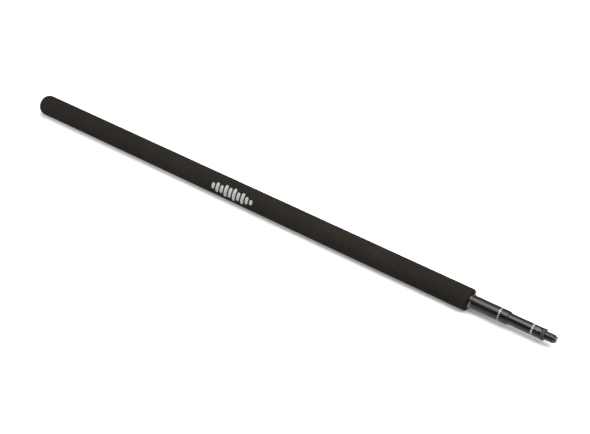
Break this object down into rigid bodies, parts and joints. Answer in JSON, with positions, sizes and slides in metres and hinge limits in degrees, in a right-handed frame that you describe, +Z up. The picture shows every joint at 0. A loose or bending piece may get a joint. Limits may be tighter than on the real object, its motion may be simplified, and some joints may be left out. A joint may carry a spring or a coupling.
{
  "type": "boom pole",
  "caption": "Collapsed telescopic microphone boom pole: long black foam grip with a domed butt, nested sliding tubes with internal twist locks and a threaded tip.",
  "frame": {"origin": "under the middle of the collapsed pole's length, on the surface that the foam grip rests on", "axes": "+X along the pole from the closed butt to the threaded tip, +Z up, +Y to the left when looking along +X"},
  "size_m": [0.7, 0.025, 0.025],
  "materials": {
    "foam": "matte closed-cell foam, fine pebbled skin",
    "anodised_tube": "black anodised, satin",
    "collar_metal": "black anodised, satin, turned",
    "thread_metal": "black anodised, knurled flange, cut thread",
    "plug_metal": "plain turned",
    "steel": "plain turned steel",
    "brass": "plain turned brass",
    "black_plastic": "moulded acetal",
    "white_plastic": "acetal",
    "rubber_pad": "soft rubber"
  },
  "bodies": {
    "grip_section": {"foam_grip": "foam", "outer_tube": "anodised_tube", "butt_plug": "black_plastic", "butt_bumper": "rubber_pad", "grip_front_bush": "collar_metal"},
    "middle_lock": {"middle_lock_sleeve": "black_plastic"},
    "middle_wedge": {"middle_lock_wedge": "brass"},
    "middle_section": {"middle_tube": "anodised_tube", "middle_front_collar": "collar_metal", "middle_rear_plug": "plug_metal", "middle_lock_screw": "steel", "middle_screw_stop": "steel", "middle_glide_ring": "white_plastic", "middle_plug_pin": "steel", "middle_bumper": "rubber_pad"},
    "tip_lock": {"tip_lock_sleeve": "black_plastic"},
    "tip_wedge": {"tip_lock_wedge": "brass"},
    "tip_section": {"tip_tube": "anodised_tube", "tip_front_collar": "collar_metal", "thread_spigot": "thread_metal", "tip_rear_plug": "plug_metal", "tip_lock_screw": "steel", "tip_screw_stop": "steel", "tip_glide_ring": "white_plastic", "tip_plug_pin": "steel"}
  },
  "joints": [
    {"name": "middle_slide", "type": "slide", "parent": "grip_section", "child": "middle_lock", "axis": [1, 0, 0], "range_m": [0, 0.4915]},
    {"name": "middle_twist", "type": "hinge", "parent": "middle_lock", "child": "middle_section", "pos_m": [0, 0, 0.0125], "axis": [1, 0, 0], "range_deg": [0, 270]},
    {"name": "middle_wedge_slide", "type": "slide", "parent": "middle_lock", "child": "middle_wedge", "axis": [1, 0, 0], "range_m": [-0.00151, 0]},
    {"name": "tip_slide", "type": "slide", "parent": "middle_section", "child": "tip_lock", "axis": [1, 0, 0], "range_m": [0, 0.4895]},
    {"name": "tip_twist", "type": "hinge", "parent": "tip_lock", "child": "tip_section", "pos_m": [0, 0, 0.0125], "axis": [1, 0, 0], "range_deg": [0, 270]},
    {"name": "tip_wedge_slide", "type": "slide", "parent": "tip_lock", "child": "tip_wedge", "axis": [1, 0, 0], "range_m": [-0.00151, 0]}
  ],
  "couplings": [
    {"joint": "middle_wedge_slide", "follows": "middle_twist", "m_per_rad": -0.00031831},
    {"joint": "tip_wedge_slide", "follows": "tip_twist", "m_per_rad": -0.00031831}
  ]
}
